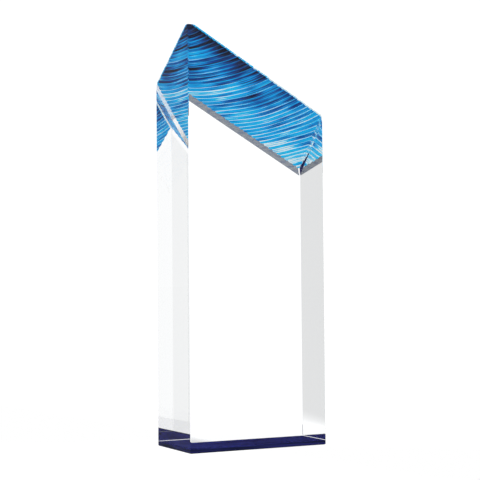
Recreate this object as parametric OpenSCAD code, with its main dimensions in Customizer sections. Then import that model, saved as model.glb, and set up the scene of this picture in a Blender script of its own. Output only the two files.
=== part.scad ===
// Column trophy: a clear acrylic block whose slanted top is carved in long curved strokes and
// lacquered blue, bonded onto a thin slab of blue acrylic.
// Millimetres, +Z up. The origin is the middle of the underside. The peak stands over the front
// left corner (-X, -Y), and the top falls from there both to the right and to the back.

/* [Block] */
// Width of the block, left to right
block_w = 76; // [60:1:100]
// Depth of the block, front to back
block_d = 39.5; // [34:0.5:60]
// Height of the whole trophy, up to the small flat on its peak
total_h = 210; // [160:1:280]
// Leg of the narrow flats polished onto the upright edges
edge_flat = 0.3; // [0.2:0.1:2]

/* [Slanted top] */
// Fall of the top from its left edge to its right edge
drop_right = 43.5; // [30:0.5:60]
// Fall of the top from its front edge to its back edge
drop_back = 26.5; // [15:0.5:35]
// How far the steep back and right bevels start in from the faces of the block
far_inset = 0.8; // [0.4:0.1:2]
// How far the back and right bevels reach down those faces
far_drop = 3.7; // [2:0.1:6]
// How far the fine front and left bevels start in from the faces of the block
near_inset = 0.6; // [0.4:0.1:1.5]
// How far the front and left bevels reach down those faces
near_drop = 1; // [0.5:0.1:2]
// Height taken off the sharp peak, which leaves a small level flat
peak_flat = 2.75; // [1:0.25:4]

/* [Carving] */
// Distance between neighbouring strokes, measured on the slanted top
stroke_pitch = 2.4; // [1.8:0.1:4]
// Width of the uncut land left between two strokes
land_w = 0.3; // [0.2:0.1:0.6]
// Depth of each stroke below the lands
stroke_depth = 0.35; // [0.2:0.05:0.6]
// Distance from the middle of the top to the centre that the strokes swing about
swing_r = 100; // [85:5:200]
// Turn of that centre away from the line straight up the slope, in degrees
swing_turn = 11.5; // [-20:0.5:20]
// Thickness of the blue lacquer over the carving
coat_t = 0.3; // [0.2:0.05:0.5]

/* [Base] */
// Thickness of the blue slab under the block
base_t = 2.2; // [1.5:0.1:8]
// Thickness of the clear bonding film between the slab and the block
bond_t = 0.2; // [0.15:0.05:0.5]

/* [Hidden] */
$fn = 96;

block_z = base_t + bond_t;
apex_z = total_h + peak_flat;
slope_right = drop_right / block_w;
slope_back = drop_back / block_d;
top_normal = unit([slope_right, slope_back, 1]);
top_middle = [0, 0, apex_z - drop_right / 2 - drop_back / 2];
fall_turn = atan2(slope_back, slope_right);
top_tilt = acos(top_normal.z);
// Radius that reaches the furthest corner of the top from its middle, with room to spare
carve_reach = norm([block_w, block_d, drop_right + drop_back]) / 2 + 2 * stroke_pitch;
stroke_w = stroke_pitch - land_w;
// Radius of the gouge that cuts a stroke of this width and depth
gouge_r = (stroke_w * stroke_w / 4 + stroke_depth * stroke_depth) / (2 * stroke_depth);
first_r = swing_r - carve_reach;
stroke_count = ceil(2 * carve_reach / stroke_pitch);
// Size of the cutting solids, larger than anything that they cut
cutter = 2 * total_h;

// A vector's direction, with length 1
function unit(v) = v / norm(v);

// Middle of the slanted top's edge on one side, such as [1, 0] for the right edge
function top_edge(side) =
  top_middle + [
    side.x * block_w / 2,
    side.y * block_d / 2,
    -side.x * drop_right / 2 - side.y * drop_back / 2
  ];

// Everything beyond a plane: the plane passes through point, and its normal leads out of the part.
module beyond(point, normal)
  translate(point)
    rotate([0, acos(unit(normal).z), atan2(normal.y, normal.x)])
      translate([-cutter / 2, -cutter / 2, 0])
        cube(cutter);

// Everything outside a flat on the upright edge of the block towards one corner, such as [1, -1].
module beyond_upright_edge(corner)
  beyond([corner.x * block_w / 2, corner.y * block_d / 2 - corner.y * edge_flat, 0], corner);

// Everything outside a bevel along the top's edge on one side. It starts a little way in from
// the block's face (inset) and meets that face below the edge of the slant (drop).
module beyond_top_bevel(side, inset, drop)
  beyond(
    top_edge(side) - [0, 0, drop],
    [side.x, side.y, 0] + inset / drop * [slope_right, slope_back, 1]
  );

// The block's plan, with a narrow flat on each upright edge, between two heights.
module upright_block(z_low, z_high)
  difference() {
    translate([-block_w / 2, -block_d / 2, z_low])
      cube([block_w, block_d, z_high - z_low]);
    for (sx = [-1, 1], sy = [-1, 1])
      beyond_upright_edge([sx, sy, 0]);
  }

// Everything above the carved top. lift moves the carving out along the top's own normal.
module above_carving(lift)
  translate(top_middle)
    rotate([0, top_tilt, fall_turn])
      rotate(-swing_turn)
        translate([-swing_r, 0, lift])
          rotate_extrude() {
            translate([first_r, 0])
              square([stroke_count * stroke_pitch, cutter]);
            for (i = [0 : stroke_count - 1])
              translate([first_r + (i + 0.5) * stroke_pitch, gouge_r - stroke_depth])
                circle(gouge_r);
          }

// Everything outside the flats polished round the top: four edge bevels and the flat on the peak.
module beyond_top_flats() {
  beyond_top_bevel([0, 1], far_inset, far_drop);
  beyond_top_bevel([1, 0], far_inset, far_drop);
  beyond_top_bevel([0, -1], near_inset, near_drop);
  beyond_top_bevel([-1, 0], near_inset, near_drop);
  beyond([0, 0, total_h], [0, 0, 1]);
}

// Clear acrylic block, sawn to the slant and carved across its top.
module column()
  color("lightcyan", 0.4)
    difference() {
      upright_block(block_z, apex_z);
      above_carving(-coat_t);
      beyond_top_flats();
    }

// Blue lacquer, an even layer that follows the carving.
module top_coat()
  color("deepskyblue")
    difference() {
      intersection() {
        upright_block(block_z, apex_z);
        above_carving(-coat_t);
      }
      above_carving(0);
      beyond_top_flats();
    }

// Clear film of adhesive that bonds the block to the slab.
module base_bond()
  color("white", 0.5)
    upright_block(base_t, block_z);

// Slab of deep blue acrylic that the block stands on.
module base_plate()
  color("midnightblue")
    upright_block(0, base_t);

column();
top_coat();
base_bond();
base_plate();
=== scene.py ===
import bpy
import numpy as np
from mathutils import Matrix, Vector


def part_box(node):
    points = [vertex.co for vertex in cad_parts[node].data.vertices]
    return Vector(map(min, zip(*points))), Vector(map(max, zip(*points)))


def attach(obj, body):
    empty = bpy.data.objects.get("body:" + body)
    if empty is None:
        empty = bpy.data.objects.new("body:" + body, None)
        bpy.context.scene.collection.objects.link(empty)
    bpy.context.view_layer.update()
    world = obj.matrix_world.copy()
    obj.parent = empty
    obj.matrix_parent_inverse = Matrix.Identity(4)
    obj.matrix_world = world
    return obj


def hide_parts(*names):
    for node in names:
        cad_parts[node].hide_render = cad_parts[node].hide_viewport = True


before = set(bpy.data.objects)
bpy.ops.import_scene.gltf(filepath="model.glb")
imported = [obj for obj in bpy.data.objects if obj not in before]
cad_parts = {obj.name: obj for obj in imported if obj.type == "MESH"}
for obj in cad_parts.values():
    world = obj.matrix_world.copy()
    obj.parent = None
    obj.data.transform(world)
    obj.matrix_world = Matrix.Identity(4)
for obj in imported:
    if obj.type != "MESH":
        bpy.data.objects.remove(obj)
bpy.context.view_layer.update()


# ---- Clear block -------------------------------------------------------------------------------
# A solid block of clear cast acrylic, sawn to a double slant at the top. A gouge swung on a long arm
# carves the slant in curved strokes. Then the edges are bevelled, and all flat faces but one polished.
# The back bevel is polished too, but tinted dark all through: painted shade, standing in for the grey
# backdrop seen through it.

mm = 0.001
block_low, block_high = (np.array(corner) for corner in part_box("column"))
half_w, half_d = (block_high - block_low)[:2] / 2
drop_right = 43.5 * mm
drop_back = 26.5 * mm
peak_flat = 2.75 * mm
edge_flat = 0.3 * mm
coat_t = 0.3 * mm

# The slant: its directions down the steepest fall and level across it, and straight up out of it.
slope = np.array([drop_right / (2 * half_w), drop_back / (2 * half_d)])
slant_up = np.array([*slope, 1]) / np.hypot(1, np.hypot(*slope))
apex_z = block_high[2] + peak_flat
slant_middle = np.array([0, 0, apex_z - (drop_right + drop_back) / 2])
down_slope = np.array([*slope, -(slope @ slope)]) / np.linalg.norm([*slope, slope @ slope])
level = np.cross(slant_up, down_slope)

# The strokes swing about a centre off to one side of the line of fall. Near the peak they lean, and
# all over they sway a little from side to side and swell and fade in depth.
swing_r = 100 * mm
swing_turn = np.radians(11.5)
outward = np.cos(swing_turn) * down_slope - np.sin(swing_turn) * level
sideways = np.cross(slant_up, outward)
stroke_pitch = 2.4 * mm
land_w = 0.3 * mm
stroke_depth = 0.35 * mm
gouge_r = ((stroke_pitch - land_w) ** 2 / 4 + stroke_depth ** 2) / (2 * stroke_depth)
first_r = swing_r - 60 * mm
lean_most = 20 * mm
lean_fade = 16
sway = 0.15
usual_depth = 0.8
least_depth = 0.4
ripples_per_stroke = 3
ripple_depth = 0.08
peak = np.array([-half_w, -half_d, slope @ (half_w, half_d)])
peak_angle = np.arctan2(peak @ sideways, swing_r + peak @ outward)

# The grid that the carving is worked out on, with its angles either side of the middle, in radians.
rows_per_stroke = 12
columns = 48
stroke_count = 50
widest = 0.8
samples = 1601
fewest_inside = 3


def bevel(way, reach, inset, drop):
    """A bevel as a plane: its normal, and how far it lies out from the slant's middle along that
    normal. It starts inset from the wall, and has fallen by drop below the slant at the wall."""
    return np.array([*way, 0]) + inset / drop * np.array([*slope, 1]), reach - inset


bevel_drop = {"front": 1.0 * mm, "right": 3.7 * mm, "back": 3.7 * mm, "left": 1.0 * mm}
flats = {
    "front": bevel((0, -1), half_d, 0.6 * mm, bevel_drop["front"]),
    "right": bevel((1, 0), half_w, 0.8 * mm, bevel_drop["right"]),
    "back": bevel((0, 1), half_d, 0.8 * mm, bevel_drop["back"]),
    "left": bevel((-1, 0), half_w, 0.6 * mm, bevel_drop["left"]),
    "peak": (np.array([0, 0, 1]), block_high[2] - slant_middle[2]),
}


def waves(seed, shortest, longest, count):
    """A smooth wandering function of two lengths, mostly within -1 to 1: sine waves with seeded
    directions, lengths and starts, summed and scaled down."""
    rng = np.random.default_rng(seed)
    turn, start = rng.uniform(0, 2 * np.pi, (2, count))
    number = 2 * np.pi / rng.uniform(shortest, longest, count)

    def value(a, b):
        along = a[..., None] * np.cos(turn) + b[..., None] * np.sin(turn)
        return np.sin(along * number + start).sum(-1) / np.sqrt(count)

    return value


stroke_wander = waves(3, 22 * mm, 60 * mm, 7)
depth_wander = waves(8, 9 * mm, 40 * mm, 9)
ripple_wander = waves(12, 3 * mm, 9 * mm, 9)


def stroke_radius(count, angle):
    """Distance from the swing centre, count strokes out: evenly pitched, wandering by a seventh of a
    pitch each way, and leaning about the peak, less and less further out."""
    even = first_r + count * stroke_pitch
    lean = lean_most * np.exp(-count / lean_fade)
    return even + lean * (angle - peak_angle) + sway * stroke_pitch * stroke_wander(even, even * angle)


def stroke_dip(count, angle):
    """Depth of the carving below the lands: the round of a gouge across each stroke, which swells and
    fades along it, with a fine ripple left by the teeth of the cutter."""
    even = first_r + count * stroke_pitch
    offset = (count % 1 - 0.5) * stroke_pitch
    round_cut = np.maximum(np.sqrt(gouge_r ** 2 - offset ** 2) - (gouge_r - stroke_depth), 0)
    swell = usual_depth + (1 - usual_depth) * depth_wander(even * 2, even * angle)
    ripple = np.sin(2 * np.pi * ripples_per_stroke * count + 2 * ripple_wander(even, even * angle))
    return round_cut * (np.clip(swell, least_depth, 1) + ripple_depth * ripple)


def carved(count, angle, lift):
    """Points of the carved slant, measured from the slant's middle. They lie on circles about the swing
    centre, sunk by the depth of the strokes and moved out by lift along the slant's own normal."""
    radius = stroke_radius(count, angle)
    depth = stroke_dip(count, angle) - lift
    return (
        (radius * np.cos(angle) - swing_r)[..., None] * outward
        + (radius * np.sin(angle))[..., None] * sideways - depth[..., None] * slant_up)


def carved_grid(lift):
    """The carved slant as a grid of points. Rows follow the strokes from one flat to another, and
    columns share out each row evenly. Each end is found between the last sample inside the flats and
    the first one beyond them. Gives the points, their places along and across the strokes, and the
    flats at both ends of each row."""
    count = np.arange(0, stroke_count, 1 / rows_per_stroke)[:, None]
    angle = np.linspace(-widest, widest, samples)
    points = carved(count, angle, lift)
    over = np.stack([points @ normal - reach for normal, reach in flats.values()])
    nearest, over = over.argmax(0), over.max(0)
    rows = np.flatnonzero((over < 0).sum(1) > fewest_inside)
    rows = np.arange(rows[0], rows[-1] + 1)
    inside = over[rows] < 0
    names = np.array(list(flats))
    found, ends = [], []
    for inner, way in ((inside.argmax(1), -1), (samples - 1 - inside[:, ::-1].argmax(1), 1)):
        outer = inner + way
        low, high = over[rows, inner], over[rows, outer]
        found.append(angle[inner] + way * (angle[1] - angle[0]) * low / (low - high))
        ends.append(names[nearest[rows, outer]])
    share = np.linspace(0, 1, columns + 1)
    angle = found[0][:, None] + (found[1] - found[0])[:, None] * share
    count = count[rows] + 0 * share
    place = np.stack([stroke_radius(count, angle) * angle / stroke_pitch, count], -1)
    return slant_middle + carved(count, angle, lift), place, ends


def grid_index(points):
    """The number of each point of a grid, laid out as the grid is."""
    return np.arange(points.shape[0] * points.shape[1]).reshape(points.shape[:2])


def grid_faces(index):
    """Four-sided faces between neighbouring rows and columns, anticlockwise seen from above."""
    return np.stack([index[:-1, :-1], index[1:, :-1], index[1:, 1:], index[:-1, 1:]], -1).reshape(-1, 4)


def grid_border(index):
    """The points round a grid, anticlockwise from above: down its first column, along its last row,
    up its last column and back along its first row."""
    return np.concatenate([index[:-1, 0], index[-1, :-1], index[:0:-1, -1], index[0, :0:-1]])


sharp_ridge = np.radians(50)


def make_piece(name, points, faces, smooth_count):
    """A mesh piece from points and faces. The first smooth_count faces are shaded smooth, except
    across their sharp ridges, and the rest are flat."""
    mesh = bpy.data.meshes.new(name)
    mesh.from_pydata(points, [], [[int(i) for i in face] for face in faces])
    mesh.set_sharp_from_angle(angle=sharp_ridge)
    mesh.polygons.foreach_set("use_smooth", np.arange(len(faces)) < smooth_count)
    piece = bpy.data.objects.new(name, mesh)
    bpy.context.scene.collection.objects.link(piece)
    return piece


def slant_z(x, y):
    """Height of the uncut slant over a point of the plan."""
    return apex_z - slope @ np.array([x + half_w, y + half_d])


def build_block():
    """The carved grid, then one flat face for each bevel and for the level flat on the peak, a small
    face at each corner between them, and the upright walls down to the underside. The back bevel is
    tinted dark as painted shade, the upright flat at the back left is satin, and the other faces are
    polished."""
    points, _, (low_ends, high_ends) = carved_grid(-coat_t)
    index = grid_index(points)
    groups = {name: [i for i, end in zip(index[:, 0], low_ends) if end == name] for name in flats}
    for name in ("back", "left"):
        groups[name] = [i for i, end in zip(index[::-1, -1], high_ends[::-1]) if end == name]

    w, d, e = half_w, half_d, edge_flat
    top_z = block_high[2]
    front_x = (apex_z - bevel_drop["front"] - top_z) / slope[0] - w
    left_y = (apex_z - bevel_drop["left"] - top_z) / slope[1] - d
    plan = [
        ("front", front_x, -d), ("front", w - e, -d), ("right", w, e - d), ("right", w, d - e),
        ("back", w - e, d), ("back", e - w, d), ("left", -w, d - e), ("left", -w, left_y),
        ("peak", -w, e - d), ("peak", e - w, -d)]
    rim_points = [
        (x, y, top_z if name == "peak" else slant_z(x, y) - bevel_drop[name]) for name, x, y in plan]
    foot_points = [(x, y, block_low[2]) for _, x, y in plan[1:7] + plan[8:]]
    rim = np.arange(len(rim_points)) + index.size
    foot = np.arange(len(foot_points)) + index.size + len(rim)
    strokes = grid_faces(index).tolist()
    polished, painted_shade_faces, satin = [], [], []
    around = {
        "front": rim[0:2], "right": rim[2:4], "back": rim[4:6], "left": rim[6:8], "peak": rim[[7, 8, 9, 0]]}
    corner_row = {"right": index[-1], "left": index[0, ::-1]}
    names = list(around)
    for name, following in zip(names, names[1:] + names[:1]):
        # The back bevel's faces take the dark tint that paints shade onto it.
        finish = painted_shade_faces if name == "back" else polished
        finish.append([*around[name], *groups[name][::-1]])
        between = corner_row.get(name, [groups[name][-1], groups[following][0]])
        outer = dict.fromkeys([around[name][-1], around[following][0]])
        polished.append([*outer, *between[::-1]])
    front_wall = [foot[7], foot[0], rim[1], rim[0], rim[9]]
    left_wall = [foot[5], foot[6], rim[8], rim[7], rim[6]]
    front_left_flat = [foot[6], foot[7], rim[9], rim[8]]
    polished += [front_wall, left_wall, front_left_flat, foot[::-1]]
    polished += [[foot[i], foot[i + 1], rim[i + 2], rim[i + 1]] for i in range(4)]
    satin.append([foot[4], foot[5], rim[6], rim[5]])
    faces = strokes + polished + painted_shade_faces + satin
    points = [*points.reshape(-1, 3), *rim_points, *foot_points]
    piece = make_piece("clear_block", points, faces, len(strokes))
    finish = np.repeat([0, 1, 2], [len(strokes + polished), len(painted_shade_faces), len(satin)])
    piece.data.polygons.foreach_set("material_index", finish.astype(np.int32))
    return piece


def new_material(name):
    """A material with nothing in its node tree yet, and that tree."""
    material = bpy.data.materials.new(name)
    material.use_nodes = True
    material.node_tree.nodes.clear()
    return material, material.node_tree


def add_node(tree, kind, inputs, **settings):
    """A shader node with its settings. Each input is a number, a colour or another node's output."""
    node = tree.nodes.new("ShaderNode" + kind)
    for name, value in settings.items():
        setattr(node, name, value)
    for name, value in inputs.items():
        if isinstance(value, bpy.types.NodeSocket):
            tree.links.new(value, node.inputs[name])
        else:
            node.inputs[name].default_value = value
    return node


def calculate(tree, operation, *values):
    """The result of a Math node over numbers and other nodes' outputs."""
    return add_node(tree, "Math", dict(enumerate(values)), operation=operation).outputs[0]


def rescale(tree, value, start, end, low, high, **settings):
    """A value carried from between start and end to between low and high, and held beyond them."""
    ends = {"From Min": start, "From Max": end, "To Min": low, "To Max": high}
    return add_node(tree, "MapRange", {"Value": value, **ends}, **settings).outputs[0]


def colour_ramp(tree, tone, stops):
    """A colour by tone, blended between stops, each with its place and its colour."""
    ramp = add_node(tree, "ValToRGB", {"Fac": tone})
    for position, _ in stops[1:-1]:
        ramp.color_ramp.elements.new(position)
    for element, (position, colour) in zip(ramp.color_ramp.elements, stops):
        element.position = position
        element.color = colour
    return ramp.outputs["Color"]


def object_place(tree):
    """A point's place in metres, in the whole trophy's frame."""
    return add_node(tree, "TexCoord", {}).outputs["Object"]


def stretched_noise(tree, stretch, detail):
    """Cloudy noise whose lumps are drawn out in a direction by a smaller stretch there."""
    place = add_node(tree, "Mapping", {"Vector": object_place(tree), "Scale": stretch})
    inputs = {"Vector": place.outputs[0], "Scale": 1, "Detail": detail}
    return add_node(tree, "TexNoise", inputs).outputs["Fac"]


acrylic_ior = 1.49
faint_blue = (0.985, 0.995, 1.0, 1)
most_haze = 0.02
bond_gap = 0.01 * mm


def bonded_acrylic(name, low, high, joint="BsdfTransparent"):
    """Polished acrylic with faint patches of haze. Between two heights it has another shader, because
    it is bonded there and its surface bends no light. Gives the material, its tree and both shaders."""
    material, tree = new_material(name)
    inputs = {"Base Color": faint_blue, "Transmission Weight": 1, "IOR": acrylic_ior}
    surface = add_node(tree, "BsdfPrincipled", inputs)
    joined = add_node(tree, joint, {})
    place = object_place(tree)
    wear = add_node(tree, "TexNoise", {"Vector": place, "Scale": 60, "Detail": 3}).outputs["Fac"]
    tree.links.new(rescale(tree, wear, 0.5, 0.8, 0, most_haze), surface.inputs["Roughness"])
    height = add_node(tree, "SeparateXYZ", {"Vector": place}).outputs["Z"]
    bonded = calculate(
        tree, "MULTIPLY", calculate(tree, "GREATER_THAN", height, low),
        calculate(tree, "LESS_THAN", height, high))
    mix = add_node(tree, "MixShader", {"Fac": bonded, 1: surface.outputs[0], 2: joined.outputs[0]})
    add_node(tree, "OutputMaterial", {"Surface": mix.outputs[0]})
    return material, tree, surface, joined


def streaked_acrylic(name, roughness, transmission, dark, light):
    """Acrylic with grey streaks between two colours, at a given roughness and transmission."""
    material, tree = new_material(name)
    streaks = stretched_noise(tree, (250, 250, 900), 3)
    surface = add_node(tree, "BsdfPrincipled", {
        "Base Color": colour_ramp(tree, streaks, [(0.35, dark), (0.6, light)]),
        "Roughness": roughness, "Transmission Weight": transmission, "IOR": acrylic_ior})
    add_node(tree, "OutputMaterial", {"Surface": surface.outputs[0]})
    return material


clear_block = build_block()
clear_acrylic, *_ = bonded_acrylic("clear_acrylic", block_low[2] - bond_gap, block_low[2] + bond_gap)
# The back bevel's dark tint is painted shade: it stands in for the grey backdrop seen through the clear
# bevel.
back_bevel_painted_shade = streaked_acrylic("back_bevel_painted_shade", 0.04, 1, (0.018, 0.028, 0.058, 1), (0.058, 0.067, 0.082, 1))
satin_edge = streaked_acrylic("satin_edge", 0.5, 0.2, (0.05, 0.06, 0.08, 1), (0.2, 0.2, 0.22, 1))
for material in (clear_acrylic, back_bevel_painted_shade, satin_edge):
    clear_block.data.materials.append(material)
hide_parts("column")
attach(clear_block, "root")


# ---- Blue lacquer ------------------------------------------------------------------------------
# An even coat of blue lacquer brushed over the carving. It is bonded to the acrylic all over, and the
# strokes show through the block from below as streaks from near black to pale cyan. Part of that is
# the lacquer's own tone and part is painted light: painted highlights on the lands and rims, painted
# shade behind the front wall, and a faint painted glow.

# How far the coat reaches into the block, so that no gap shows between them.
bite = 0.05 * mm


def build_coat():
    """Two carved grids, one on the outside and one a little way into the block, joined round their
    borders. Its UV map runs along the strokes and across them, in stroke widths."""
    outer, outer_place, _ = carved_grid(0.0)
    under, under_place, _ = carved_grid(-coat_t - bite)
    late = int(round((under_place[0, 0, 1] - outer_place[0, 0, 1]) * rows_per_stroke))
    outer, outer_place = outer[max(late, 0):], outer_place[max(late, 0):]
    under, under_place = under[max(-late, 0):], under_place[max(-late, 0):]
    rows = min(len(outer), len(under))
    outer, outer_place, under, under_place = (a[:rows] for a in (outer, outer_place, under, under_place))
    index = grid_index(outer)
    top = grid_faces(index)
    border = grid_border(index)
    ahead = np.roll(border, -1)
    rim = np.stack([border + index.size, ahead + index.size, ahead, border], -1)
    faces = np.concatenate([top, top[:, ::-1] + index.size, rim])
    piece = make_piece(
        "blue_lacquer", np.concatenate([outer.reshape(-1, 3), under.reshape(-1, 3)]), faces, 2 * len(top))
    corner = np.empty(len(piece.data.loops), int)
    piece.data.loops.foreach_get("vertex_index", corner)
    place = np.concatenate([outer_place.reshape(-1, 2), under_place.reshape(-1, 2)])[corner]
    piece.data.uv_layers.new(name="strokes").data.foreach_set("uv", place.astype(np.float32).ravel())
    return piece


lacquer_stops = [
    (0.0, (0.001, 0.002, 0.015, 1)), (0.12, (0.02, 0.03, 0.06, 1)), (0.22, (0.0, 0.03, 0.20, 1)),
    (0.36, (0.0, 0.09, 0.42, 1)), (0.52, (0.0, 0.34, 0.82, 1)), (0.72, (0.0, 0.52, 0.95, 1)),
    (0.92, (0.02, 0.66, 1, 1)), (1.0, (0.9, 0.99, 1, 1))]
darkest = -1.46
shade_reach = 12 * mm
rim_near = 0.8 * mm
rim_far = 1.3 * mm


def lacquer_material():
    """Blue by tone, from near black to pale cyan. The tone is a weighted sum: it rises along and across
    the strokes, rises on the lands between them as a painted highlight, differs from one stroke to the
    next, and has streaks, patches and scratches. It is lowered behind the front wall as painted shade,
    and raised along the front and left rims as painted highlights. The lacquer also glows faintly in its
    own colour, a painted glow."""
    material, tree = new_material("blue_lacquer")
    strokes = add_node(tree, "UVMap", {}, uv_map="strokes").outputs[0]

    def flat_noise(place, detail):
        inputs = {"Vector": place, "Scale": 1, "Detail": detail}
        return add_node(tree, "TexNoise", inputs, noise_dimensions="2D").outputs["Fac"]

    def streaks(along, across, detail, shift):
        inputs = {"Vector": strokes, "Scale": (along, across, 1), "Location": (shift, shift, 0)}
        return flat_noise(add_node(tree, "Mapping", inputs).outputs[0], detail)

    def fade(*values):
        return rescale(tree, *values, interpolation_type="SMOOTHSTEP")

    def product(*values):
        return calculate(tree, "MULTIPLY", *values)

    split = add_node(tree, "SeparateXYZ", {0: strokes})
    along, across = split.outputs["X"], split.outputs["Y"]
    off_middle = calculate(
        tree, "ABSOLUTE", calculate(tree, "SUBTRACT", calculate(tree, "FRACT", across), 0.5))
    land_highlight = calculate(tree, "POWER", product(off_middle, 2), 7)
    own = {"X": product(along, 0.09), "Y": product(calculate(tree, "FLOOR", across), 2.3)}
    each = flat_noise(add_node(tree, "CombineXYZ", own).outputs[0], 1)
    where = add_node(tree, "SeparateXYZ", {0: object_place(tree)})
    x, y = where.outputs["X"], where.outputs["Y"]

    # Painted shade: the tone is lowered within shade_reach of the front wall, by a different amount for
    # each stroke, most on the left half.
    front_painted_shade = fade(y, -half_d, -half_d + shade_reach, -0.48, 0)
    weights = [
        (along, 0.006), (across, 0.017), (each, 1.1), (streaks(0.08, 5.5, 3, 7), 1.0),
        (streaks(0.11, 0.16, 2, 15), 0.55), (streaks(0.25, 16, 1, 31), 0.35),
        # Painted highlight: the tone rises on the narrow lands between the strokes, the ridges of the
        # carving, and more so further out.
        (land_highlight, fade(across, 0, 45, 0.35, 0.75)),
        (product(front_painted_shade, each), fade(x, -5 * mm, half_w, 1, 0.1)),
        # Painted highlights: bright lines along the front and left rims of the carving.
        (fade(y, -half_d + rim_near, -half_d + rim_far, 1, 0), 0.8),
        (fade(x, -half_w + rim_near, -half_w + rim_far, 1, 0), 0.6)]
    tone = darkest
    for value, weight in weights:
        tone = calculate(tree, "ADD", tone, product(value, weight))

    blue = colour_ramp(tree, tone, lacquer_stops)
    # The lacquer glows faintly in its own colour: painted light, standing in for light coming through the
    # lacquer from above.
    surface = add_node(tree, "BsdfPrincipled", {
        "Base Color": blue, "Emission Color": blue, "Emission Strength": 0.2,
        "Roughness": 0.45, "Specular IOR Level": 0.15})
    add_node(tree, "OutputMaterial", {"Surface": surface.outputs[0]})
    return material


coat = build_coat()
coat.data.materials.append(lacquer_material())
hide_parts("top_coat")
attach(coat, "root")


# ---- Blue slab ---------------------------------------------------------------------------------
# A slab of acrylic dyed so deep a blue that it looks solid, with polished edges and a fine bevel
# round its foot. The block stands on it, bonded all over.

slab_low, slab_high = (np.array(corner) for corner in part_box("base_plate"))
polish = 0.3 * mm


def plan_ring(inset, z):
    """The block's outline with its narrow upright flats, inset, at one height."""
    w, d, e = half_w - inset, half_d - inset, edge_flat
    return [
        (e - w, -d, z), (w - e, -d, z), (w, e - d, z), (w, d - e, z),
        (w - e, d, z), (e - w, d, z), (-w, d - e, z), (-w, e - d, z)]


def build_prism(name, rings):
    """Outline rings stacked from the bottom up, joined by flat walls and closed at both ends."""
    size = len(rings[0])
    step = np.arange(size)
    ahead = (step + 1) % size
    faces = [
        [k * size + i, k * size + j, (k + 1) * size + j, (k + 1) * size + i]
        for k in range(len(rings) - 1) for i, j in zip(step, ahead)]
    faces += [step[::-1], step + (len(rings) - 1) * size]
    return make_piece(name, [point for ring in rings for point in ring], faces, 0)


slab = build_prism("dyed_slab", [plan_ring(polish, 0), plan_ring(0, polish), plan_ring(0, slab_high[2])])
dyed, tree, surface, joined = bonded_acrylic(
    "blue_acrylic", slab_high[2] - bond_gap, slab_high[2] + bond_gap, "BsdfDiffuse")
surface.inputs["Transmission Weight"].default_value = 0
cloud = stretched_noise(tree, (25, 60, 900), 2)
edge_blues = [(0.35, (0.0, 0.002, 0.01, 1)), (0.65, (0.012, 0.014, 0.10, 1))]
bonded_blues = [(0.35, (0.018, 0.016, 0.10, 1)), (0.65, (0.032, 0.036, 0.20, 1))]
for shader, blues in ((surface, edge_blues), (joined, bonded_blues)):
    tree.links.new(colour_ramp(tree, cloud, blues), shader.inputs[0])
slab.data.materials.append(dyed)
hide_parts("base_plate")
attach(slab, "root")


# ---- Bonding film ------------------------------------------------------------------------------
# A film of clear acrylic cement that holds the slab to the block. It fills the joint all over and
# can't be seen: light passes straight through it, edge included.

film_play = 0.03 * mm
beyond_trophy = 1
film = build_prism(
    "clear_film", [plan_ring(0, slab_high[2] + film_play), plan_ring(0, block_low[2] - film_play)])
cement, *_ = bonded_acrylic("clear_cement", -beyond_trophy, beyond_trophy)
film.data.materials.append(cement)
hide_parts("base_bond")
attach(film, "root")


# ---- Studio ------------------------------------------------------------------------------------
# A white floor and a white sky that both give off light and take no shadow, with one large soft light
# overhead. They are greyer to the back left and the front right, and dim in mirrored light.

floor_gap = 0.25 * mm
floor_size = 60
bpy.ops.mesh.primitive_plane_add(size=floor_size, location=(0, 0, -floor_gap))
floor = bpy.context.object
floor.name = "floor"


back_left = (-0.5, 0.866, 0)
white = 1.1
back_grey = 0.78
front_grey = 0.9
floor_mirrored = 0.15
sky_mirrored = 0.2


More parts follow.
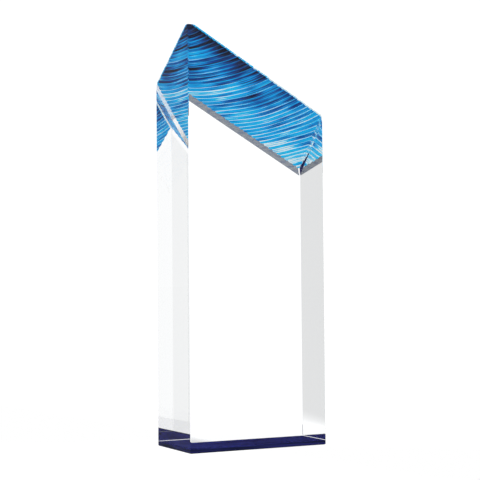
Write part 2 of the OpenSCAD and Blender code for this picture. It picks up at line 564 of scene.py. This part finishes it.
def studio_light(tree, place, mirrored):
    """Brightness of the studio by direction: white, greyer to the back left and a little greyer to the
    front right. Rays that a face of the trophy mirrors see it only as bright as mirrored says, as
    through a polarising filter, and rays straight from the camera see at least full white."""
    towards = add_node(tree, "VectorMath", {0: place}, operation="NORMALIZE").outputs[0]
    turned = add_node(tree, "VectorMath", {0: towards, 1: back_left}, operation="DOT_PRODUCT")
    toward_grey = turned.outputs["Value"]
    bright = calculate(
        tree, "MULTIPLY", rescale(tree, toward_grey, 0.90, 0.97, white, back_grey),
        rescale(tree, toward_grey, -0.95, -0.7, front_grey, 1))
    ray = add_node(tree, "LightPath", {}).outputs
    only_mirrored = calculate(tree, "SUBTRACT", ray["Is Glossy Ray"], ray["Is Transmission Ray"])
    seen = rescale(tree, only_mirrored, 0, 1, bright, mirrored)
    return calculate(tree, "MAXIMUM", seen, ray["Is Camera Ray"])


paper, tree = new_material("white_floor")
glow = add_node(tree, "Emission", {"Strength": studio_light(tree, object_place(tree), floor_mirrored)})
add_node(tree, "OutputMaterial", {"Surface": glow.outputs[0]})
floor.data.materials.append(paper)

world = bpy.data.worlds.new("studio")
bpy.context.scene.world = world
world.use_nodes = True
tree = world.node_tree
sky = tree.nodes["Background"]
sky.inputs["Color"].default_value = (1, 1, 1, 1)
sky_place = add_node(tree, "TexCoord", {}).outputs["Generated"]
tree.links.new(studio_light(tree, sky_place, sky_mirrored), sky.inputs["Strength"])

overhead = bpy.data.lights.new("overhead", "SUN")
overhead.angle = 0.6
overhead.energy = 0.9
lamp = bpy.data.objects.new("overhead", overhead)
bpy.context.scene.collection.objects.link(lamp)

# Light crosses the block many times before it leaves, so its paths are followed further than usual.
bounces = 24
paths = bpy.context.scene.cycles
paths.max_bounces = bounces
paths.glossy_bounces = bounces
paths.transmission_bounces = bounces
paths.transparent_max_bounces = bounces

camera_place = (-0.3132, -0.6163, 0.0825)
heading, pitch, roll = np.radians((-26.93, 2.4, 0.47))
camera_data = bpy.data.cameras.new("camera")
camera_data.lens = 101
camera_data.shift_y = -0.0275
camera = bpy.data.objects.new("camera", camera_data)
bpy.context.scene.collection.objects.link(camera)
camera.matrix_world = (
    Matrix.Translation(camera_place) @ Matrix.Rotation(heading, 4, "Z") @ Matrix.Rotation(pitch, 4, "X")
    @ Matrix.Rotation(roll, 4, "Y") @ Matrix.Rotation(np.pi / 2, 4, "X"))
bpy.context.scene.camera = camera
bpy.context.scene.view_settings.view_transform = "Standard"
